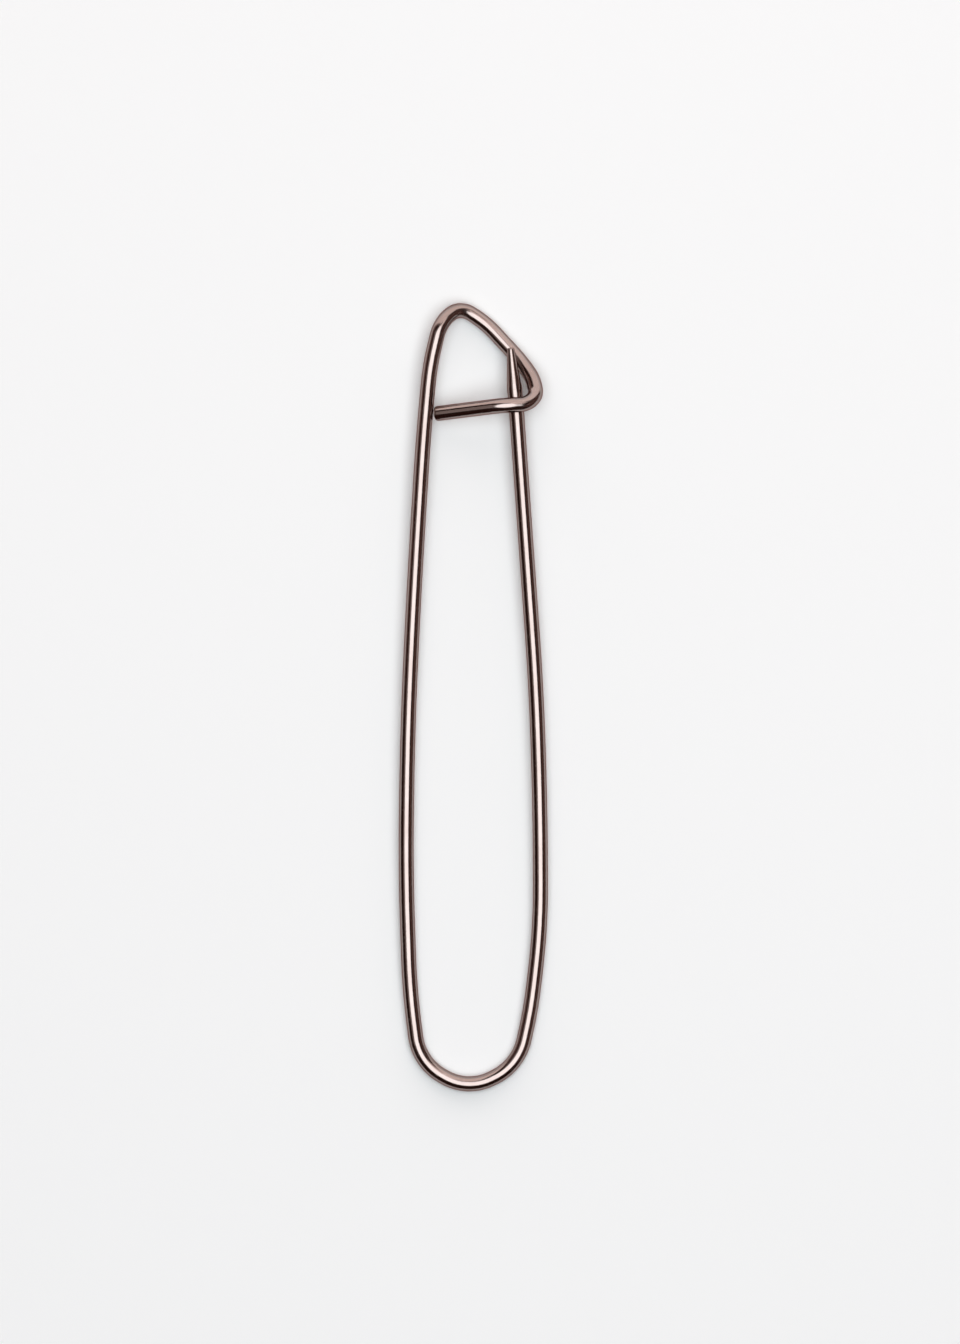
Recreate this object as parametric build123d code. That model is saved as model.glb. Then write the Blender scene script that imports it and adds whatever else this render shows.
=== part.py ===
from build123d import *
import math
import os

# Stitch holder: one springy round wire, bent into a long loop like a large safety pin.
# X runs across the two legs, Y from the heel to the crown, and Z rises from the table.
# The middle line of the wire is laid out with both legs level at Z = 0 and the lowest corner
# of the heel at Y = 0. The finished loop is then tipped a little, so that it lies on its heel
# and on the low side of its crown. Every length is in millimetres.

# Wire
wire_diameter = 2.7
cut_end_rounding = 0.5

# Legs
leg_span = 24.18  # between the middle lines of the legs, where they stand widest
length_to_crown = 141.13  # from the lowest corner of the heel to the corner of the crown

# Point of the needle leg
tip_diameter = 1.25
tip_rounding = 0.3
point_length = 7.7
tip_overlap = 0.4  # how far the tip reaches past the middle of the slant

# Head, which holds the point: crown, slant, hook and crossbar
head_height = 17.6  # from the crossbar to the corner of the crown
slant_rise = 1.0  # how much the slant comes forward on its way to the hook
hook_room = 1.0  # beside the needle leg, to the outer corner of the hook
crossbar_swell = 0.63  # how much the crossbar rises to its crest, beside the needle leg
crossbar_fall = 1.7  # how much nearer to the heel the cut end of the crossbar is
crossbar_end_sink = 0.3  # how far the cut end lies behind the plane of the legs
crossbar_end_gap = 0.4  # between the back leg and the middle of the cut end

# Room around the closed needle leg, behind it to the slant and in front of it to the crossbar
catch_clearance = 0.25

wire_radius = wire_diameter / 2
tip_radius = tip_diameter / 2
half_span = leg_span / 2
crossbar_y = length_to_crown - head_height

# Corners of the legs: shares of the half span and of the length to the crown
needle_leg_shares = ((0.941, 0.509), (0.997, 0.352), (1.004, 0.211))
back_leg_shares = ((-1.007, 0.282), (-0.976, 0.467), (-0.874, 0.651), (-0.744, 0.831))

# Corners of the heel: shares of the half span, both ways
heel_shares = ((0.859, 1.192), (0.665, 0.366), (-0.084, 0.0), (-0.807, 0.413), (-0.946, 1.483))

# Corners of the crown: shares of the half span, of the head's height and of the slant's depth
crown_shares = ((-0.645, 0.397, 0.0), (-0.492, 0.834, 0.0), (-0.202, 1.0, 0.82))
slant_top_shares = (0.183, 0.834)

# Corners of the hook: shares of its reach, of the head's height and of its climb to the crossbar
slant_foot_shares = (0.740, 0.451)
hook_shares = ((0.946, 0.265, 0.34), (1.0, 0.092, 0.571), (0.841, 0.0, 0.829))

# Corner of the crossbar, at its crest: shares of the hook's reach and of the crossbar's fall
crossbar_shares = ((0.483, 0.085),)

# Where the needle leg passes behind the crossbar, as a share of the half span, where its point
# crosses the slant, from the slant's top, and where the point comes nearest to the slant, from
# its tip
needle_pass_share = 0.637
catch_share = 0.731
flank_share = 0.45

# Each corner is rounded over this share of the shorter of its two runs
bend_share = 0.47


def bend_radius(before, corner, after):
    """Radius of the bend at a corner, from the shorter of its two runs and the turn."""
    shorter = min((corner - before).length, (after - corner).length)
    turn = math.radians((corner - before).get_angle(after - corner))
    return bend_share * shorter / math.tan(turn / 2)


def stretch(before, corners, after, start, end):
    """A stretch of wire from start to end, bent at its corners."""
    line = [before, *corners, after]
    radii = [bend_radius(*line[i : i + 3]) for i in range(len(corners))]
    path = FilletPolyline(start, *corners, end, radius=radii)
    section = Plane(origin=path @ 0, z_dir=path % 0) * Circle(wire_radius)
    return sweep(section, path=path)


def middle(a, b):
    """Point halfway between two corners, where one stretch ends and the next starts."""
    return (a + b) / 2


# Route of the wire's middle line

leg_corners = [Vector(x * half_span, y * length_to_crown, 0) for x, y in needle_leg_shares]
heel_corners = [Vector(x * half_span, y * half_span, 0) for x, y in heel_shares]
back_corners = [Vector(x * half_span, y * length_to_crown, 0) for x, y in back_leg_shares]

needle_pass = Vector(needle_pass_share * half_span, crossbar_y, 0)
needle_corners = [needle_pass, *leg_corners]
hook_reach = needle_pass.X + wire_diameter + hook_room
slant_top_plan = Vector(
    slant_top_shares[0] * half_span, crossbar_y + slant_top_shares[1] * head_height, 0
)
slant_foot_plan = Vector(
    slant_foot_shares[0] * hook_reach, crossbar_y + slant_foot_shares[1] * head_height, 0
)

# Behind the crossbar the needle leg turns a little towards the slant, and its tip lies in front
slant_crossing = slant_top_plan + (slant_foot_plan - slant_top_plan) * catch_share
needle_direction = (slant_crossing - needle_pass).normalized()
needle_tip = slant_crossing + needle_direction * tip_overlap
needle_shoulder = needle_tip - needle_direction * point_length

# Depths: the slant behind the point's flank, the crossbar in front of the full wire
flank_radius = tip_radius + (wire_radius - tip_radius) * flank_share
slant_depth = wire_radius + flank_radius + catch_clearance
slant_top_z = -slant_depth - slant_rise * catch_share
slant_foot_z = slant_top_z + slant_rise
crossbar_z = wire_diameter + catch_clearance + crossbar_swell
hook_climb = crossbar_z - slant_foot_z

crown_corners = [
    Vector(x * half_span, crossbar_y + y * head_height, depth * slant_top_z)
    for x, y, depth in crown_shares
]
slant_corners = [
    slant_top_plan + Vector(0, 0, slant_top_z),
    slant_foot_plan + Vector(0, 0, slant_foot_z),
]
hook_corners = [
    Vector(x * hook_reach, crossbar_y + y * head_height, slant_foot_z + climb * hook_climb)
    for x, y, climb in hook_shares
]
crossbar_corners = [
    Vector(x * hook_reach, crossbar_y - fall * crossbar_fall, crossbar_z)
    for x, fall in crossbar_shares
]

# The cut end of the crossbar stands just beside the back leg
crossbar_end_y = crossbar_y - crossbar_fall
leg_below = back_corners[-1]
leg_above = crown_corners[0]
leg_ratio = (crossbar_end_y - leg_below.Y) / (leg_above.Y - leg_below.Y)
back_leg_x = leg_below.X + (leg_above.X - leg_below.X) * leg_ratio
crossbar_end = Vector(
    back_leg_x + wire_radius + crossbar_end_gap, crossbar_end_y, -crossbar_end_sink
)


def needle_point():
    """The ground point: a plain taper with a blunt, rounded tip."""
    outline = Polyline(
        (0, 0), (wire_radius, 0), (tip_radius, point_length), (0, point_length), close=True
    )
    profile = make_face(outline)
    tip_corner = profile.vertices().sort_by_distance((tip_radius, point_length, 0))[0]
    profile = fillet(tip_corner, tip_rounding)
    point = revolve(Plane.XZ * profile, Axis.Z)
    return Plane(origin=needle_shoulder, z_dir=needle_direction) * point


def needle_leg():
    """The springy leg that carries the stitches, up to its point."""
    after = heel_corners[0]
    end = middle(needle_corners[-1], after)
    return stretch(needle_shoulder, needle_corners, after, needle_shoulder, end)


def heel_bend():
    """The spring bend that joins the two legs."""
    before = needle_corners[-1]
    after = back_corners[0]
    start = middle(before, heel_corners[0])
    return stretch(before, heel_corners, after, start, middle(heel_corners[-1], after))


def back_leg():
    """The leg that carries the head."""
    before = heel_corners[-1]
    after = crown_corners[0]
    start = middle(before, back_corners[0])
    return stretch(before, back_corners, after, start, middle(back_corners[-1], after))


def crown_bend():
    """The bend over the top, which dips behind the plane of the legs."""
    before = back_corners[-1]
    after = slant_corners[0]
    start = middle(before, crown_corners[0])
    return stretch(before, crown_corners, after, start, middle(crown_corners[-1], after))


def catch_slant():
    """The bar behind the tip."""
    before = crown_corners[-1]
    after = hook_corners[0]
    start = middle(before, slant_corners[0])
    return stretch(before, slant_corners, after, start, middle(slant_corners[-1], after))


def hook_bend():
    """The bend that climbs round the needle leg to its front."""
    before = slant_corners[-1]
    after = crossbar_corners[0]
    start = middle(before, hook_corners[0])
    return stretch(before, hook_corners, after, start, middle(hook_corners[-1], after))


def crossbar():
    """The bar in front of the needle leg, with the wire's cut end."""
    before = hook_corners[-1]
    start = middle(before, crossbar_corners[0])
    bar = stretch(before, crossbar_corners, crossbar_end, start, crossbar_end)
    cut_edge = bar.faces().sort_by_distance(crossbar_end)[0].edges()
    return fillet(cut_edge, cut_end_rounding)


nodes = {
    "needle_point": needle_point(),
    "needle_leg": needle_leg(),
    "heel_bend": heel_bend(),
    "back_leg": back_leg(),
    "crown_bend": crown_bend(),
    "catch_slant": catch_slant(),
    "hook_bend": hook_bend(),
    "crossbar": crossbar(),
}

# The loop lies on its heel and on the lowest place of the head
head_low_z = nodes["catch_slant"].bounding_box().min.Z + wire_radius
rest_tilt = math.degrees(math.atan2(-head_low_z, slant_corners[0].Y))
tipped = {name: Rotation(rest_tilt, 0, 0) * solid for name, solid in nodes.items()}

# The origin is under the middle of the loop, on the table
box = Compound(list(tipped.values())).bounding_box()
on_table = Location((-box.center().X, -box.center().Y, -box.min.Z))

os.makedirs("parts", exist_ok=True)
for name, solid in tipped.items():
    export_step(on_table * solid, f"parts/{name}.step")
print(f"size {box.size.X:.2f} x {box.size.Y:.2f} x {box.size.Z:.2f}, tilt {rest_tilt:.2f}")
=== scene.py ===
import logging
import math
from dataclasses import dataclass
from enum import Enum
from typing import Callable, Sequence

import bmesh
import bpy
import numpy as np
from mathutils import Matrix, Vector


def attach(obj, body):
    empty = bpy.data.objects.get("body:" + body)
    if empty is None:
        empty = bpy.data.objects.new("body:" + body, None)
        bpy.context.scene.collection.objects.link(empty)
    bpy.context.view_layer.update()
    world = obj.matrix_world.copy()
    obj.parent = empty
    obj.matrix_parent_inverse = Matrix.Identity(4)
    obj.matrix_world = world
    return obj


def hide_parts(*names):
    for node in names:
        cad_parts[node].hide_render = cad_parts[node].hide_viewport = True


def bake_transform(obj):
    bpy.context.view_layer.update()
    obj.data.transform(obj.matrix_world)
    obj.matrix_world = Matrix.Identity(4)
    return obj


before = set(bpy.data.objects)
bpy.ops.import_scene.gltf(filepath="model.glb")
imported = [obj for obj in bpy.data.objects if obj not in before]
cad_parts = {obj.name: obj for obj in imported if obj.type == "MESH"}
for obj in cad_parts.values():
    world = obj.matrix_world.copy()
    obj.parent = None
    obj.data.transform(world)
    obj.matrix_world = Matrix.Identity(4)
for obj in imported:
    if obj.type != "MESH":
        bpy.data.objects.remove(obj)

# A stitch holder: one springy round wire, bent into a long loop like a large safety pin. Sizes are
# in millimetres until the meshes are made, which are in metres.

log = logging.getLogger("stitch_holder")

MM = 0.001

# What a vertex tells the finishes: its place in the straight wire, and how strained the wire is
PLACE_ATTRIBUTE = "wire_place"
STRAIN_ATTRIBUTE = "bend_strain"

# Limits in shaping the meshes
SHORTEST_MOVE = 0.0001
LONGEST_TURN = 2.5  # degrees of a bend, from one ring to the next
MERGE_DISTANCE = 0.0001
SMOOTHED_UP_TO = 40.0  # degrees from one face to the next
NEARER_BY = 0.000001  # what makes one move of the wire clearly nearer than another

# Sockets of a Mix node by number, because those for numbers and colours share their names
MIX_FACTOR = 0
MIX_NUMBER_A, MIX_NUMBER_B, MIXED_NUMBER = 2, 3, 0
MIX_COLOUR_A, MIX_COLOUR_B, MIXED_COLOUR = 6, 7, 2

# Nearly all values of a noise lie between these
NOISE_LOW, NOISE_HIGH = 0.3, 0.7

Point = tuple[float, float, float]
Socket = bpy.types.NodeSocket


class Body(Enum):
    """CAD bodies that a stretch of the wire rides on."""

    NEEDLE = "needle"
    FRAME = "frame"


class Slot(Enum):
    """Material slots of the record."""

    WIRE = "wire"
    GROUND_WIRE = "ground_wire"


def linear(colour: str) -> tuple[float, float, float, float]:
    """Turn an sRGB hex colour into a linear one.

    Args:
        colour: The colour as "#RRGGBB".

    Returns:
        Linear red, green, blue and an alpha of one.
    """
    channels = [int(colour[i : i + 2], 16) / 255 for i in (1, 3, 5)]
    red, green, blue = (
        level / 12.92 if level <= 0.04045 else ((level + 0.055) / 1.055) ** 2.4
        for level in channels
    )
    return red, green, blue, 1.0


def scale_for(size: float) -> float:
    """Scale of a pattern whose grains are so many millimetres large."""
    return 1 / (size * MM)


def add_node(
    tree: bpy.types.NodeTree,
    kind: str,
    settings: dict[str, object] | None = None,
    values: dict[str | int, object] | None = None,
    links: dict[str | int, Socket] | None = None,
) -> bpy.types.Node:
    """Add a node with its settings, socket values and links.

    Args:
        tree: The node tree to add to.
        kind: The node's type name.
        settings: Properties of the node itself.
        values: Constants for input sockets, by name, or by number where a name repeats.
        links: Output sockets to link to input sockets.

    Returns:
        The new node.
    """
    node = tree.nodes.new(kind)
    for name, value in (settings or {}).items():
        setattr(node, name, value)
    for name, value in (values or {}).items():
        node.inputs[name].default_value = value
    for name, source in (links or {}).items():
        tree.links.new(source, node.inputs[name])
    return node


def new_material(name: str) -> tuple[bpy.types.Material, bpy.types.NodeTree]:
    """Make a material with an empty node tree.

    Args:
        name: The material's name.

    Returns:
        The material and its node tree.
    """
    material = bpy.data.materials.new(name)
    material.use_nodes = True
    material.node_tree.nodes.clear()
    return material, material.node_tree


# Pattern space: where the wire's surface was before it was bent


def place_in_wire(offset: np.ndarray, side: Vector, up: Vector, along: np.ndarray) -> np.ndarray:
    """Put places in the straight wire together.

    Args:
        offset: Each point, from the middle line.
        side: The first direction across the wire.
        up: The second direction across the wire.
        along: How far along the wire each point is.

    Returns:
        The places, one to a row: across the wire both ways, and along it.
    """
    return np.stack([offset @ np.array(side), offset @ np.array(up), along], axis=1)


def vertices_of(mesh: bpy.types.Mesh) -> np.ndarray:
    """List a mesh's vertices.

    Args:
        mesh: The mesh.

    Returns:
        Their positions in metres, one to a row.
    """
    points = np.empty(len(mesh.vertices) * 3)
    mesh.vertices.foreach_get("co", points)
    return points.reshape(-1, 3)


def store_places(mesh: bpy.types.Mesh, places: np.ndarray, strain: np.ndarray) -> None:
    """Store on each vertex what the finishes read.

    Args:
        mesh: The finished mesh.
        places: Each vertex's place in the straight wire, in metres.
        strain: How strained the wire is there.
    """
    attribute = mesh.attributes.new(PLACE_ATTRIBUTE, "FLOAT_VECTOR", "POINT")
    attribute.data.foreach_set("vector", places.astype(np.float32).ravel())
    attribute = mesh.attributes.new(STRAIN_ATTRIBUTE, "FLOAT", "POINT")
    attribute.data.foreach_set("value", strain.astype(np.float32))


# Route of the wire


@dataclass(frozen=True)
class Run:
    """A straight part of the wire's middle line."""

    start: Vector
    direction: Vector
    length: float

    @property
    def strain(self) -> float:
        """A straight run isn't strained."""
        return 0.0

    def carry(self, vector: Vector) -> Vector:
        """A run leaves a direction across the wire as it is."""
        return vector.copy()

    def shape(self, longest_step: float) -> None:
        """Extrude the selected end face along the run.

        Args:
            longest_step: The most that one ring may stand from the next.
        """
        steps = max(1, math.ceil(self.length / longest_step))
        step = self.direction * (self.length / steps) * MM
        for _ in range(steps):
            bpy.ops.mesh.extrude_region_move(TRANSFORM_OT_translate={"value": step})

    def unbend(self, points: np.ndarray, side: Vector, up: Vector) -> tuple[np.ndarray, np.ndarray]:
        """Find where points of the surface were in the straight wire.

        Args:
            points: The points, one to a row.
            side: The first direction across the wire, at the run's start.
            up: The second direction across the wire.

        Returns:
            How far each point is from the run's middle line, and its place in the straight wire.
        """
        direction = np.array(self.direction)
        offset = points - np.array(self.start)
        along = np.clip(offset @ direction, 0, self.length)
        from_line = offset - along[:, None] * direction
        beyond_end = from_line @ direction
        place = place_in_wire(from_line, side, up, along + beyond_end)
        return np.linalg.norm(from_line, axis=1), place


@dataclass(frozen=True)
class Bend:
    """An arc of the wire's middle line, whose angle is in radians."""

    start: Vector
    centre: Vector
    axis: Vector
    angle: float

    @property
    def radius(self) -> float:
        """Radius of the middle line."""
        return (self.start - self.centre).length

    @property
    def length(self) -> float:
        """Length along the middle line."""
        return self.radius * self.angle

    @property
    def strain(self) -> float:
        """How much the wire is stretched, for each millimetre outside its middle line."""
        return 1 / self.radius

    def carry(self, vector: Vector) -> Vector:
        """Turn a direction with the bend."""
        return Matrix.Rotation(self.angle, 3, self.axis) @ vector

    def shape(self, longest_step: float) -> None:
        """Spin the selected end face round the bend.

        Args:
            longest_step: The most that one ring may stand from the next.
        """
        by_length = math.ceil(self.length / longest_step)
        by_angle = math.ceil(math.degrees(self.angle) / LONGEST_TURN)
        steps = max(2, by_length, by_angle)
        # the operator counts its angle the other way round
        bpy.ops.mesh.spin(steps=steps, angle=-self.angle, center=self.centre * MM, axis=self.axis)

    def unbend(self, points: np.ndarray, side: Vector, up: Vector) -> tuple[np.ndarray, np.ndarray]:
        """Find where points of the surface were in the straight wire.

        Args:
            points: The points, one to a row.
            side: The first direction across the wire, at the bend's start.
            up: The second direction across the wire.

        Returns:
            How far each point is from the bend's middle line, and its place in the straight wire.
        """
        axis = np.array(self.axis)
        arm = np.array(self.start - self.centre)
        tangent = np.cross(axis, arm) / self.radius
        offset = points - np.array(self.centre)
        turn = np.arctan2(offset @ tangent, offset @ arm / self.radius)
        turn = np.clip(turn, 0, self.angle)
        cos, sin = np.cos(turn)[:, None], np.sin(turn)[:, None]
        along_axis = (offset @ axis)[:, None] * axis
        turned_back = offset * cos - np.cross(axis, offset) * sin + along_axis * (1 - cos)
        from_line = turned_back - arm
        along = turn * self.radius + from_line @ tangent
        return np.linalg.norm(from_line, axis=1), place_in_wire(from_line, side, up, along)


Move = Run | Bend


@dataclass(frozen=True)
class WireRoute:
    """The whole wire's middle line, as corners that the bends round off.

    The first point is the shoulder of the needle's point and the last is the cut end. The corners
    lie in the frame's own place: X across the legs, Y towards the crown, Z up from the table.
    """

    corners: tuple[Point, ...] = (
        (7.4434, 55.1935, 4.2188),
        (7.6826, 52.7096, 4.1624),
        (11.3580, 1.0282, 2.9877),
        (12.0350, -21.1235, 2.4842),
        (12.1196, -41.0177, 2.0320),
        (10.3666, -56.3809, 1.6828),
        (8.0211, -66.3647, 1.4559),
        (-1.0343, -70.7885, 1.3553),
        (-9.7754, -65.7966, 1.4688),
        (-11.4559, -52.8636, 1.7627),
        (-12.1934, -31.0001, 2.2597),
        (-11.8186, -4.8978, 2.8530),
        (-10.5854, 21.0634, 3.4431),
        (-9.0137, 46.4603, 4.0203),
        (-7.8168, 59.6950, 4.3212),
        (-5.9670, 67.3843, 4.4959),
        (-2.4609, 70.3663, 1.8716),
        (2.1937, 67.4588, 1.2145),
        (8.4183, 60.6971, 2.0611),
        (10.7669, 57.3790, 3.9794),
        (11.3826, 54.3042, 5.2640),
        (9.5698, 52.6511, 6.7393),
        (5.4881, 52.4838, 7.7382),
        (-6.8522, 51.0169, 3.8238),
    )
    bend_share: float = 0.47  # of the shorter run at a corner
    wire_diameter: float = 2.7

    @property
    def wire_radius(self) -> float:
        """Half of the wire's thickness."""
        return self.wire_diameter / 2

    def corner(self, index: int) -> Vector:
        """A corner as a vector, in millimetres."""
        return Vector(self.corners[index])

    def border(self, index: int) -> Vector:
        """The point halfway from a corner to the next one, where two stretches meet."""
        return (self.corner(index) + self.corner(index + 1)) / 2

    def moves(self, first: int, last: int) -> list[Move]:
        """List the runs and bends of a stretch.

        Args:
            first: The stretch's first corner.
            last: Its last corner.

        Returns:
            The moves, from the middle of the run before the first corner, or the shoulder, to the
            middle of the run after the last corner, or the cut end.
        """
        here = self.corner(0) if first == 1 else self.border(first - 1)
        final = self.corner(-1) if last == len(self.corners) - 2 else self.border(last)
        found: list[Move] = []
        for index in range(first, last + 1):
            before, corner, after = (self.corner(i) for i in (index - 1, index, index + 1))
            setback = self.bend_share * min((corner - before).length, (after - corner).length)
            incoming = (corner - before).normalized()
            outgoing = (after - corner).normalized()
            turn = incoming.angle(outgoing)
            axis = incoming.cross(outgoing).normalized()
            bend_start = corner - incoming * setback
            centre = bend_start + axis.cross(incoming) * (setback / math.tan(turn / 2))
            found.append(Run(here, incoming, (bend_start - here).length))
            found.append(Bend(bend_start, centre, axis, turn))
            here = corner + outgoing * setback
        found.append(Run(here, (final - here).normalized(), (final - here).length))
        return [move for move in found if move.length > SHORTEST_MOVE]

    def start_of(self, first: int) -> tuple[Vector, Vector, float]:
        """Follow the wire to a stretch's start, so that every ring of it lines up with the next.

        Args:
            first: The stretch's first corner.

        Returns:
            The two directions across the wire there, and the length of wire from the shoulder.
        """
        direction = (self.corner(1) - self.corner(0)).normalized()
        side = Vector((0, 0, 1)).cross(direction).normalized()
        up = direction.cross(side)
        along = 0.0
        if first > 1:
            for move in self.moves(1, first - 1):
                side, up = move.carry(side), move.carry(up)
                along += move.length
        return side, up, along


# Shaping with Blender's tools


def deselect_all() -> None:
    """Leave edit mode if it is open, and select no object."""
    if bpy.context.object is not None and bpy.context.object.mode != "OBJECT":
        bpy.ops.object.mode_set(mode="OBJECT")
    bpy.ops.object.select_all(action="DESELECT")


def select_faces(piece: bpy.types.Object, test: Callable[[bmesh.types.BMFace], bool]) -> None:
    """Select the faces of the piece in edit mode that pass a test.

    Args:
        piece: The piece in edit mode.
        test: Says of a face whether it is wanted.
    """
    bpy.ops.mesh.select_all(action="DESELECT")
    bpy.ops.mesh.select_mode(type="FACE")
    mesh = bmesh.from_edit_mesh(piece.data)
    for face in mesh.faces:
        face.select_set(test(face))
    bmesh.update_edit_mesh(piece.data)


@dataclass
class WireStretch:
    """One formed stretch of the wire, shaped along the route from a disc."""

    node: str
    route: WireRoute
    first: int
    last: int
    sides: int = 64
    longest_step: float = 2.5

    def moves(self) -> list[Move]:
        """The runs and bends of this stretch."""
        return self.route.moves(self.first, self.last)

    def build(self) -> bpy.types.Object:
        """Shape the stretch and leave it in object mode.

        Returns:
            The finished piece.
        """
        side, up, _ = self.route.start_of(self.first)
        moves = self.moves()
        piece = self.add_disc(moves[0].start, (side, up, side.cross(up)))
        for move in moves:
            move.shape(self.longest_step)
        self.shape_end(piece)
        return self.close(piece)

    def add_disc(self, centre: Vector, axes: Sequence[Vector]) -> bpy.types.Object:
        """Add the disc that the stretch starts from, and open it in edit mode.

        Args:
            centre: The disc's middle.
            axes: Its X, Y and Z directions. It faces along the last one.

        Returns:
            The disc, with its face selected.
        """
        deselect_all()
        bpy.ops.mesh.primitive_circle_add(
            vertices=self.sides,
            radius=self.route.wire_radius * MM,
            fill_type="NGON",
            location=centre * MM,
            rotation=Matrix(axes).transposed().to_euler(),
        )
        piece = bpy.context.object
        piece.name = f"{self.node}_wire"
        bpy.ops.object.transform_apply(location=True, rotation=True, scale=True)
        bpy.ops.object.mode_set(mode="EDIT")
        bpy.ops.mesh.select_all(action="SELECT")
        return piece

    def shape_end(self, piece: bpy.types.Object) -> None:
        """A stretch that meets the next one ends in a plain flat face."""

    def close(self, piece: bpy.types.Object) -> bpy.types.Object:
        """Merge, turn the faces outwards and smooth, and store the places in the straight wire.

        Args:
            piece: The piece in edit mode.

        Returns:
            The same piece, in object mode.
        """
        bpy.ops.mesh.select_all(action="SELECT")
        bpy.ops.mesh.remove_doubles(threshold=MERGE_DISTANCE * MM)
        bpy.ops.mesh.normals_make_consistent(inside=False)
        bpy.ops.object.mode_set(mode="OBJECT")
        bpy.ops.object.shade_smooth_by_angle(angle=math.radians(SMOOTHED_UP_TO))
        self.write_places(piece.data)
        return piece

    def write_places(self, mesh: bpy.types.Mesh) -> None:
        """Find each vertex's place in the straight wire, from the move that it is nearest to.

        Args:
            mesh: The finished mesh.
        """
        points = vertices_of(mesh) / MM
        side, up, along = self.route.start_of(self.first)
        nearest = np.full(len(points), np.inf)
        places = np.zeros((len(points), 3))
        strain = np.zeros(len(points))
        for move in self.moves():
            distance, place = move.unbend(points, side, up)
            closer = distance < nearest - NEARER_BY
            nearest[closer] = distance[closer]
            places[closer] = place[closer] + (0, 0, along)
            strain[closer] = move.strain * self.route.wire_radius
            side, up = move.carry(side), move.carry(up)
            along += move.length
        store_places(mesh, places * MM, strain)


@dataclass
class CutStretch(WireStretch):
    """The stretch that ends in the cropped end of the wire."""

    rounding: float = 0.5
    rounding_steps: int = 8
    lip: float = 0.14
    dish: float = 0.05
    least_facing: float = 0.6  # cosine to the wire, from which a face of the end counts as cut

    def cut(self) -> tuple[Vector, Vector]:
        """The middle of the cut, in metres, and the direction that it faces."""
        final = self.moves()[-1]
        return (final.start + final.direction * final.length) * MM, final.direction

    def shape_end(self, piece: bpy.types.Object) -> None:
        """Round the cropped end and press a slight dish into it.

        Args:
            piece: The piece in edit mode, with the end face selected.
        """
        bpy.ops.mesh.bevel(
            offset=self.rounding * MM, segments=self.rounding_steps, profile=0.5, affect="EDGES"
        )
        tip, facing = self.cut()
        parallel, in_line = 0.9999, 0.01 * MM
        select_faces(
            piece,
            lambda face: face.normal.dot(facing) > parallel
            and abs((face.calc_center_median() - tip).dot(facing)) < in_line,
        )
        bpy.ops.mesh.inset(thickness=self.lip * MM)
        bpy.ops.transform.translate(value=facing * -self.dish * MM)

    def finish_end(self, piece: bpy.types.Object) -> None:
        """Give the flat of the cut end the piece's second material.

        Args:
            piece: The dressed piece, in object mode.
        """
        tip, facing = self.cut()
        second_material = 1
        for face in piece.data.polygons:
            faces_out = face.normal.dot(facing) > self.least_facing
            if faces_out and (face.center - tip).length < self.route.wire_radius * MM:
                face.material_index = second_material


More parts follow.
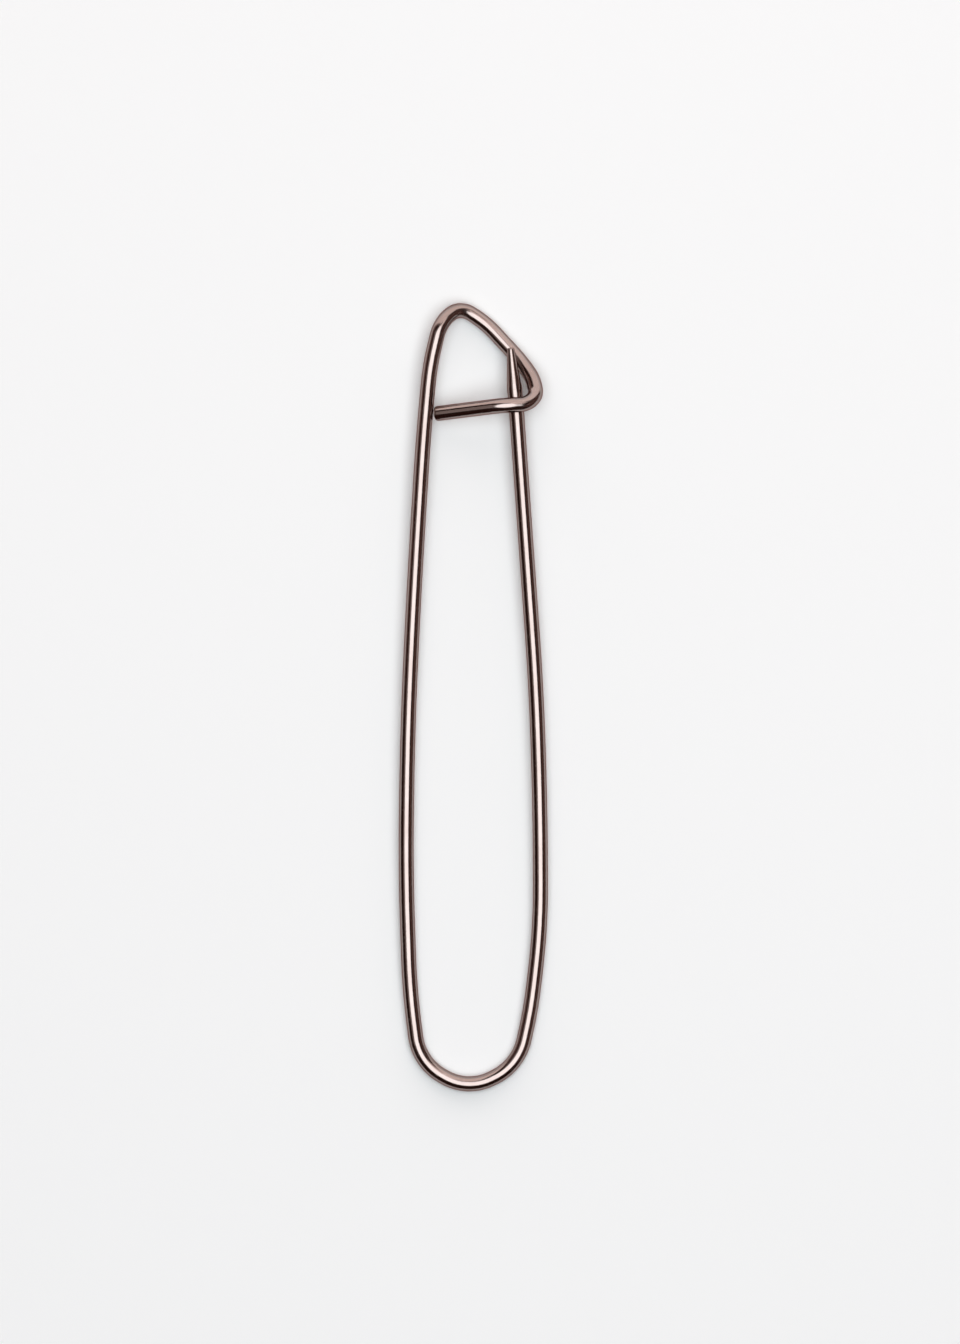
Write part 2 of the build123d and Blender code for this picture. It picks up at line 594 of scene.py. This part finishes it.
@dataclass
class GroundPoint(WireStretch):
    """The needle's ground point: a taper with a soft shoulder and a blunt domed tip."""

    tip: Point = (6.7055, 62.8561, 4.393)
    tip_diameter: float = 1.25
    tip_rounding: float = 0.3
    rounding_steps: int = 8
    dome_starts: float = 78.0  # degrees that the rounding turns before the flatter dome
    dome_turns: float = 10.5
    dome_steps: int = 5
    soft_shoulder: float = 1.4
    ring_spacing: float = 0.35

    def build(self) -> bpy.types.Object:
        """Draw the disc out to the tip, ring by ring.

        Returns:
            The finished piece.
        """
        base, direction, length = self.middle_line()
        side, up, _ = self.route.start_of(self.first)
        piece = self.add_disc(base, (-side, up, direction))
        at, radius = 0.0, self.route.wire_radius
        for ring_at, ring_radius in self.profile(length):
            move = direction * (ring_at - at) * MM
            bpy.ops.mesh.extrude_region_move(TRANSFORM_OT_translate={"value": move})
            share = ring_radius / radius
            ring_centre = (base + direction * ring_at) * MM
            bpy.ops.transform.resize(value=(share, share, share), center_override=ring_centre)
            at, radius = ring_at, ring_radius
        return self.close(piece)

    def middle_line(self) -> tuple[Vector, Vector, float]:
        """Find the line that the point is ground round.

        Returns:
            The shoulder, the direction to the tip, and the length.
        """
        base = self.route.corner(0)
        reach = Vector(self.tip) - base
        return base, reach.normalized(), reach.length

    def profile(self, length: float) -> list[tuple[float, float]]:
        """List the rings of the point.

        Args:
            length: From the shoulder to the tip.

        Returns:
            Each ring's distance from the shoulder and its radius.
        """
        wire_radius = self.route.wire_radius
        tip_radius = self.tip_diameter / 2
        slope = (wire_radius - tip_radius) / (length - self.soft_shoulder / 2)

        def wall(at: float) -> float:
            """Radius of the taper, which starts softly at the shoulder."""
            if at < self.soft_shoulder:
                return wire_radius - slope * at * at / (2 * self.soft_shoulder)
            return wire_radius - slope * (at - self.soft_shoulder / 2)

        last_wall = length - 2 * self.tip_rounding
        count = math.ceil(last_wall / self.ring_spacing)
        rings = [(last_wall * i / count, wall(last_wall * i / count)) for i in range(1, count + 1)]

        lean = math.atan(slope)
        dome_starts = math.radians(self.dome_starts)
        arc_at = length - self.tip_rounding
        arc_radius = wall(arc_at) - self.tip_rounding / math.cos(lean)
        for step in range(self.rounding_steps + 1):
            turn = lean + (dome_starts - lean) * step / self.rounding_steps
            ring_at = arc_at + self.tip_rounding * math.sin(turn)
            rings.append((ring_at, arc_radius + self.tip_rounding * math.cos(turn)))

        dome_radius = rings[-1][1] / math.cos(dome_starts)
        dome_centre = rings[-1][0] - dome_radius * math.sin(dome_starts)
        for step in range(1, self.dome_steps + 1):
            turn = dome_starts + math.radians(self.dome_turns) * step / self.dome_steps
            rings.append((dome_centre + dome_radius * math.sin(turn), dome_radius * math.cos(turn)))
        return rings

    def write_places(self, mesh: bpy.types.Mesh) -> None:
        """Find each vertex's place in the wire before it was ground.

        The shoulder is at zero, as it is on the leg, and the tip is at less than zero.

        Args:
            mesh: The finished mesh.
        """
        base, direction, _ = self.middle_line()
        side, up, _ = self.route.start_of(self.first)
        offset = vertices_of(mesh) - np.array(base * MM)
        places = place_in_wire(offset, side, up, -offset @ np.array(direction))
        store_places(mesh, places, np.zeros(len(offset)))


# Finishes


@dataclass(frozen=True)
class MetalFinish:
    """Aluminium, worked in some way and then anodised in a bronze tint.

    The tint is a thin dyed layer over bright metal. Seen square on, it is a warm grey. Its edge
    tint is
    painted shade: a dark brown at grazing angles that darkens the wire's flanks where they mirror
    the pale floor.
    """

    name: str
    roughness: tuple[float, float]
    # painted shade: a dark brown edge tint that darkens the wire's flanks where they would mirror
    # the pale floor
    painted_flank_shade: str = "#8A3423"

    def make(self) -> bpy.types.Material:
        """Build the metal on the surface's own pattern.

        Returns:
            The material.
        """
        material, tree = new_material(self.name)
        place = add_node(tree, "ShaderNodeAttribute", {"attribute_name": PLACE_ATTRIBUTE})
        colour, roughness, normal = self.pattern(tree, place.outputs["Vector"])
        metal = add_node(
            tree,
            "ShaderNodeBsdfPrincipled",
            # the edge tint paints shade onto the wire's flanks
            values={"Metallic": 1.0, "Specular Tint": linear(self.painted_flank_shade)},
            links={"Base Color": colour, "Roughness": roughness, "Normal": normal},
        )
        add_node(tree, "ShaderNodeOutputMaterial", links={"Surface": metal.outputs["BSDF"]})
        return material

    def pattern(self, tree: bpy.types.NodeTree, place: Socket) -> tuple[Socket, Socket, Socket]:
        """Build what the metal's working left on it. Each finish has its own.

        Args:
            tree: The material's node tree.
            place: The place in the straight wire.

        Returns:
            The colour, the roughness and the normal.
        """
        raise NotImplementedError


@dataclass(frozen=True)
class DrawnWireFinish(MetalFinish):
    """Aluminium wire, drawn through a die, polished bright and anodised in a bronze tint.

    Drawing leaves fine lines along the wire that soften the edges of its reflections. The tint
    shows as a warm metal colour, a little cloudy and never as paint. Bending roughens the strained
    metal a little, and use leaves short hairlines where the dyed layer is worn and the brighter
    metal shows.
    """

    name: str = "aluminium_drawn_bronze_anodised"
    roughness: tuple[float, float] = (0.10, 0.18)
    light_tint: str = "#A19692"
    deep_tint: str = "#93847F"
    cloud_size: float = 5.0
    line_width: float = 0.07  # real die lines are near 0.02 mm, drawn coarser so that they show
    line_length: float = 30.0
    line_depth: float = 0.004
    line_strength: float = 0.35
    peel_size: float = 0.25
    peel_depth: float = 0.008
    peel_strength: float = 0.3
    strain_roughness: float = 0.12
    hairline_tint: str = "#BDB0AA"
    hairline_width: float = 0.06  # real hairlines are near 0.01 mm, drawn coarser so that they show
    hairline_length: float = 1.6
    hairline_slant: tuple[float, float] = (25.0, 17.0)  # degrees off the wire's own direction
    hairline_range: tuple[float, float] = (0.68, 0.76)  # high up in the noise, so that few show
    hairline_wear: float = 0.6
    hairline_roughness: float = 0.25

    def pattern(self, tree: bpy.types.NodeTree, place: Socket) -> tuple[Socket, Socket, Socket]:
        """Build the dyed layer, the die lines, the peel of the bends and the hairlines.

        Args:
            tree: The material's node tree.
            place: The place in the straight wire.

        Returns:
            The colour, the roughness and the normal.
        """
        strain = add_node(tree, "ShaderNodeAttribute", {"attribute_name": STRAIN_ATTRIBUTE})
        line_across, line_along = scale_for(self.line_width), scale_for(self.line_length)
        stretched = add_node(
            tree,
            "ShaderNodeVectorMath",
            {"operation": "MULTIPLY"},
            {1: (line_across, line_across, line_along)},
            {0: place},
        )
        lines = add_node(
            tree,
            "ShaderNodeTexNoise",
            values={"Scale": 1.0, "Detail": 3.0, "Roughness": 0.6},
            links={"Vector": stretched.outputs[0]},
        )
        clouds = add_node(
            tree,
            "ShaderNodeTexNoise",
            values={"Scale": scale_for(self.cloud_size), "Detail": 2.0, "Roughness": 0.5},
            links={"Vector": place},
        )
        peel = add_node(
            tree,
            "ShaderNodeTexNoise",
            values={"Scale": scale_for(self.peel_size), "Detail": 1.0},
            links={"Vector": place},
        )
        hair_across, hair_along = scale_for(self.hairline_width), scale_for(self.hairline_length)
        slanted = add_node(
            tree,
            "ShaderNodeMapping",
            values={
                "Rotation": (*(math.radians(angle) for angle in self.hairline_slant), 0.0),
                "Scale": (hair_across, hair_across, hair_along),
            },
            links={"Vector": place},
        )
        scratches = add_node(
            tree,
            "ShaderNodeTexNoise",
            values={"Scale": 1.0, "Detail": 1.0},
            links={"Vector": slanted.outputs["Vector"]},
        )
        faintest, strongest = self.hairline_range
        hairlines = add_node(
            tree,
            "ShaderNodeMapRange",
            values={"From Min": faintest, "From Max": strongest, "To Max": self.hairline_wear},
            links={"Value": scratches.outputs["Fac"]},
        )
        tint = add_node(
            tree,
            "ShaderNodeMix",
            {"data_type": "RGBA"},
            {MIX_COLOUR_A: linear(self.light_tint), MIX_COLOUR_B: linear(self.deep_tint)},
            {MIX_FACTOR: clouds.outputs["Fac"]},
        )
        worn = add_node(
            tree,
            "ShaderNodeMix",
            {"data_type": "RGBA"},
            {MIX_COLOUR_B: linear(self.hairline_tint)},
            {MIX_FACTOR: hairlines.outputs["Result"], MIX_COLOUR_A: tint.outputs[MIXED_COLOUR]},
        )
        smoothest, roughest = self.roughness
        lined = add_node(
            tree,
            "ShaderNodeMapRange",
            values={
                "From Min": NOISE_LOW,
                "From Max": NOISE_HIGH,
                "To Min": smoothest,
                "To Max": roughest,
            },
            links={"Value": lines.outputs["Fac"]},
        )
        strained = add_node(
            tree,
            "ShaderNodeMath",
            {"operation": "MULTIPLY_ADD"},
            {1: self.strain_roughness},
            {0: strain.outputs["Fac"], 2: lined.outputs["Result"]},
        )
        scuffed = add_node(
            tree,
            "ShaderNodeMath",
            {"operation": "MULTIPLY_ADD"},
            {1: self.hairline_roughness},
            {0: hairlines.outputs["Result"], 2: strained.outputs[0]},
        )
        line_bump = add_node(
            tree,
            "ShaderNodeBump",
            values={"Strength": self.line_strength, "Distance": self.line_depth * MM},
            links={"Height": lines.outputs["Fac"]},
        )
        peel_height = add_node(
            tree,
            "ShaderNodeMath",
            {"operation": "MULTIPLY"},
            links={0: peel.outputs["Fac"], 1: strain.outputs["Fac"]},
        )
        peel_bump = add_node(
            tree,
            "ShaderNodeBump",
            values={"Strength": self.peel_strength, "Distance": self.peel_depth * MM},
            links={"Height": peel_height.outputs[0], "Normal": line_bump.outputs["Normal"]},
        )
        return worn.outputs[MIXED_COLOUR], scuffed.outputs[0], peel_bump.outputs["Normal"]


@dataclass(frozen=True)
class GroundPointFinish(MetalFinish):
    """The same wire ground to a point against a wheel before it was polished and anodised.

    The wheel leaves fine rings round the taper, which spread each reflection along the point.
    """

    name: str = "aluminium_ground_bronze_anodised"
    roughness: tuple[float, float] = (0.09, 0.19)
    light_tint: str = "#A19692"
    deep_tint: str = "#90827D"
    ring_width: float = 0.12  # real rings are near 0.04 mm, drawn coarser so that they show
    ring_drift: float = 0.06  # how much a ring changes across the point, against along it
    ring_depth: float = 0.002
    ring_strength: float = 0.4

    def pattern(self, tree: bpy.types.NodeTree, place: Socket) -> tuple[Socket, Socket, Socket]:
        """Build the grinding rings.

        Args:
            tree: The material's node tree.
            place: The place in the straight wire.

        Returns:
            The colour, the roughness and the normal.
        """
        ring = scale_for(self.ring_width)
        squeezed = add_node(
            tree,
            "ShaderNodeVectorMath",
            {"operation": "MULTIPLY"},
            {1: (ring * self.ring_drift, ring * self.ring_drift, ring)},
            {0: place},
        )
        rings = add_node(
            tree,
            "ShaderNodeTexNoise",
            values={"Scale": 1.0, "Detail": 2.0, "Roughness": 0.5},
            links={"Vector": squeezed.outputs[0]},
        )
        tint = add_node(
            tree,
            "ShaderNodeMix",
            {"data_type": "RGBA"},
            {MIX_COLOUR_A: linear(self.light_tint), MIX_COLOUR_B: linear(self.deep_tint)},
            {MIX_FACTOR: rings.outputs["Fac"]},
        )
        smoothest, roughest = self.roughness
        ringed = add_node(
            tree,
            "ShaderNodeMapRange",
            values={
                "From Min": NOISE_LOW,
                "From Max": NOISE_HIGH,
                "To Min": smoothest,
                "To Max": roughest,
            },
            links={"Value": rings.outputs["Fac"]},
        )
        bump = add_node(
            tree,
            "ShaderNodeBump",
            values={"Strength": self.ring_strength, "Distance": self.ring_depth * MM},
            links={"Height": rings.outputs["Fac"]},
        )
        return tint.outputs[MIXED_COLOUR], ringed.outputs["Result"], bump.outputs["Normal"]


@dataclass(frozen=True)
class ShearedEndFinish(MetalFinish):
    """The wire's end, cropped by a blade and then anodised with the rest.

    The blade rubs fine straight scores across the first part of the cut, which look satin, and the
    rest breaks off grainy and matt.
    """

    name: str = "aluminium_sheared_bronze_anodised"
    roughness: tuple[float, float] = (0.26, 0.54)
    scored_tint: str = "#A19692"
    broken_tint: str = "#7E6C67"
    breaks_off: tuple[float, float] = (-0.15, 0.35)  # from the last scores to nothing but grain
    score_width: float = 0.08  # real scores are near 0.03 mm, drawn coarser so that they show
    score_drift: float = 0.03  # how much a score changes along itself, against across it
    grain: float = 0.12
    depth: float = 0.006
    strength: float = 0.6

    def pattern(self, tree: bpy.types.NodeTree, place: Socket) -> tuple[Socket, Socket, Socket]:
        """Build the scored part and the broken part.

        Args:
            tree: The material's node tree.
            place: The place in the straight wire.

        Returns:
            The colour, the roughness and the normal.
        """
        across = scale_for(self.score_width)
        stretched = add_node(
            tree,
            "ShaderNodeVectorMath",
            {"operation": "MULTIPLY"},
            {1: (across, across * self.score_drift, across)},
            {0: place},
        )
        scores = add_node(
            tree,
            "ShaderNodeTexNoise",
            values={"Scale": 1.0, "Detail": 2.0},
            links={"Vector": stretched.outputs[0]},
        )
        grain = add_node(
            tree,
            "ShaderNodeTexNoise",
            values={"Scale": scale_for(self.grain), "Detail": 4.0, "Roughness": 0.65},
            links={"Vector": place},
        )
        parts = add_node(tree, "ShaderNodeSeparateXYZ", links={0: place})
        last_scores, all_grain = self.breaks_off
        broken = add_node(
            tree,
            "ShaderNodeMapRange",
            values={"From Min": last_scores * MM, "From Max": all_grain * MM},
            links={"Value": parts.outputs["Y"]},
        )
        height = add_node(
            tree,
            "ShaderNodeMix",
            {"data_type": "FLOAT"},
            links={
                MIX_FACTOR: broken.outputs["Result"],
                MIX_NUMBER_A: scores.outputs["Fac"],
                MIX_NUMBER_B: grain.outputs["Fac"],
            },
        )
        tint = add_node(
            tree,
            "ShaderNodeMix",
            {"data_type": "RGBA"},
            {MIX_COLOUR_A: linear(self.scored_tint), MIX_COLOUR_B: linear(self.broken_tint)},
            {MIX_FACTOR: broken.outputs["Result"]},
        )
        satin, matt = self.roughness
        rough = add_node(
            tree,
            "ShaderNodeMapRange",
            values={"To Min": satin, "To Max": matt},
            links={"Value": broken.outputs["Result"]},
        )
        bump = add_node(
            tree,
            "ShaderNodeBump",
            values={"Strength": self.strength, "Distance": self.depth * MM},
            links={"Height": height.outputs[MIXED_NUMBER]},
        )
        return tint.outputs[MIXED_COLOUR], rough.outputs["Result"], bump.outputs["Normal"]


@dataclass(frozen=True)
class FloorFinish:
    """Matt white laminate, which shows the soft shadow and no pattern at this distance."""

    name: str = "laminate_matt_pale"
    colour: str = "#F8FCFC"
    roughness: float = 0.9

    def make(self) -> bpy.types.Material:
        """Build the node tree.

        Returns:
            The material.
        """
        material, tree = new_material(self.name)
        sheet = add_node(
            tree,
            "ShaderNodeBsdfPrincipled",
            values={"Base Color": linear(self.colour), "Roughness": self.roughness},
        )
        add_node(tree, "ShaderNodeOutputMaterial", links={"Surface": sheet.outputs["BSDF"]})
        return material


# Sub-assemblies


def dress(
    piece: bpy.types.Object, materials: Sequence[bpy.types.Material], node: str
) -> None:
    """Give a piece its materials, and let it stand for its CAD node.

    Args:
        piece: The finished piece.
        materials: Its materials, the first one for all faces that aren't set apart.
        node: The CAD node that it stands for.
    """
    piece.data.materials.clear()
    for material in materials:
        piece.data.materials.append(material)
    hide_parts(node)
    log.info("%s: %d faces for node %s", piece.name, len(piece.data.polygons), node)


@dataclass
class NeedleSide:
    """The springy leg that carries the stitches, with its ground point."""

    route: WireRoute
    drawn: bpy.types.Material
    ground: bpy.types.Material

    def build(self) -> None:
        """Shape and dress the point and the leg."""
        point = GroundPoint("needle_point", self.route, 1, 1).build()
        dress(point, [self.ground], "needle_point")
        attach(point, Body.NEEDLE.value)
        leg = WireStretch("needle_leg", self.route, 1, 4).build()
        dress(leg, [self.drawn], "needle_leg")
        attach(leg, Body.NEEDLE.value)


@dataclass
class Heel:
    """The spring bend at the bottom, which gives when the holder is opened."""

    route: WireRoute
    drawn: bpy.types.Material
    bends_from: Point = (9.8, -50.0, 1.5)
    bends_to: Point = (-10.4, -50.0, 1.5)

    def build(self) -> None:
        """Shape and dress the bend, and bake its place into its mesh."""
        bend = WireStretch("heel_bend", self.route, 5, 9).build()
        dress(bend, [self.drawn], "heel_bend")
        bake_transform(bend)


@dataclass
class FrameSide:
    """The back leg and the head that holds the point: crown, slant, hook and crossbar."""

    route: WireRoute
    drawn: bpy.types.Material
    sheared: bpy.types.Material

    def build(self) -> None:
        """Shape and dress the stretches from the heel up, and then the bar with the cut end."""
        stretches = [
            WireStretch("back_leg", self.route, 10, 13),
            WireStretch("crown_bend", self.route, 14, 16),
            WireStretch("catch_slant", self.route, 17, 18),
            WireStretch("hook_bend", self.route, 19, 21),
        ]
        for stretch in stretches:
            piece = stretch.build()
            dress(piece, [self.drawn], stretch.node)
            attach(piece, Body.FRAME.value)
        crossbar = CutStretch("crossbar", self.route, 22, 22)
        bar = crossbar.build()
        dress(bar, [self.drawn, self.sheared], crossbar.node)
        crossbar.finish_end(bar)
        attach(bar, Body.FRAME.value)


# Stage


class LampShape(Enum):
    """Outlines of a softbox."""

    ROUND = "ELLIPSE"
    SQUARE = "RECTANGLE"


@dataclass(frozen=True)
class Softbox:
    """A soft lamp that faces the object."""

    name: str
    shape: LampShape
    centre: Point
    size: tuple[float, float]
    radiance: float
    colour: str
    turn: float = 0.0  # degrees round its own middle

    def add(self) -> None:
        """Add the lamp, turned towards the middle of the object."""
        data = bpy.data.lights.new(self.name, "AREA")
        data.shape = self.shape.value
        data.size = self.size[0] * MM
        data.size_y = self.size[1] * MM
        area = data.size * data.size_y * (math.pi / 4 if self.shape is LampShape.ROUND else 1)
        data.energy = self.radiance * math.pi * area
        data.color = linear(self.colour)[:3]
        lamp = bpy.data.objects.new(self.name, data)
        lamp.location = Vector(self.centre) * MM
        facing = (-lamp.location).to_track_quat("-Z", "Y").to_matrix()
        lamp.rotation_euler = (facing @ Matrix.Rotation(math.radians(self.turn), 3, "Z")).to_euler()
        lamp.visible_camera = False
        bpy.context.scene.collection.objects.link(lamp)


@dataclass
class Studio:
    """Floor, lamps, surroundings and camera."""

    floor_size: float = 6000.0
    floor_rim: float = 20.0
    overhead_light: str = "#F8FCFF"
    warm_light: str = "#FFF2EE"
    rose_light: str = "#FFCCC0"
    surroundings: str = "#361D16"
    view_centre: Point = (1.2, 4.56, 3.0)
    view_height: float = 241.92
    sensor_width: float = 36.0
    camera_distance: float = 2400.0
    nearest_seen: float = 50.0
    farthest_seen: float = 20000.0

    def build(self) -> None:
        """Set up everything round the object."""
        self.add_floor()
        for box in self.softboxes():
            box.add()
        self.add_surroundings()
        self.add_camera()
        bpy.context.scene.view_settings.view_transform = "Standard"

    def softboxes(self) -> list[Softbox]:
        """List the lamps.

        Returns:
            A round one overhead, a broad one behind the crown and a small one to the upper right,
            and three dim cards that give the wire's flanks something to mirror.
        """
        disc, sheet = LampShape.ROUND, LampShape.SQUARE
        cool, warm, rose = self.overhead_light, self.warm_light, self.rose_light
        return [
            Softbox("overhead_softbox", disc, (62, -85, 1300), (1290, 1440), 3.22, cool),
            Softbox("back_softbox", sheet, (60, 930, 10), (2180, 2180), 1.44, warm, turn=45),
            Softbox("upper_right_softbox", disc, (496, 558, 1064), (580, 580), 1.5, warm),
            Softbox("upper_left_card", sheet, (-744, 60, 1060), (1000, 460), 0.37, warm),
            Softbox("right_card", sheet, (1100, -100, 450), (1500, 900), 0.104, rose),
            Softbox("left_card", sheet, (-1000, 400, 180), (800, 500), 0.24, rose),
        ]

    def add_floor(self) -> None:
        """Add the floor, with a narrow rim round it."""
        deselect_all()
        bpy.ops.mesh.primitive_plane_add(size=self.floor_size * MM)
        floor = bpy.context.object
        floor.name = "floor"
        bpy.ops.object.mode_set(mode="EDIT")
        bpy.ops.mesh.select_all(action="SELECT")
        bpy.ops.mesh.inset(thickness=self.floor_rim * MM)
        bpy.ops.object.mode_set(mode="OBJECT")
        floor.data.materials.append(FloorFinish().make())

    def add_surroundings(self) -> None:
        """Give the room round the lamps a dim, even colour."""
        world = bpy.data.worlds.new("dim_studio")
        world.use_nodes = True
        tree = world.node_tree
        tree.nodes.clear()
        room = add_node(tree, "ShaderNodeBackground", values={"Color": linear(self.surroundings)})
        add_node(tree, "ShaderNodeOutputWorld", links={"Surface": room.outputs[0]})
        bpy.context.scene.world = world

    def add_camera(self) -> None:
        """Look straight down with a long lens, as the photograph does."""
        data = bpy.data.cameras.new("camera")
        data.sensor_fit = "AUTO"
        data.sensor_width = self.sensor_width
        data.lens = self.sensor_width * self.camera_distance / self.view_height
        data.clip_start = self.nearest_seen * MM
        data.clip_end = self.farthest_seen * MM
        camera = bpy.data.objects.new("camera", data)
        camera.location = (Vector(self.view_centre) + Vector((0, 0, self.camera_distance))) * MM
        bpy.context.scene.collection.objects.link(camera)
        bpy.context.scene.camera = camera


def main() -> None:
    """Build the holder and its stage."""
    logging.basicConfig(level=logging.INFO)
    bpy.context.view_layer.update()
    route = WireRoute()
    drawn = DrawnWireFinish().make()
    ground = GroundPointFinish().make()
    NeedleSide(route, drawn, ground).build()
    Heel(route, drawn).build()
    FrameSide(route, drawn, ShearedEndFinish().make()).build()
    Studio().build()


if __name__ == "__main__":
    main()
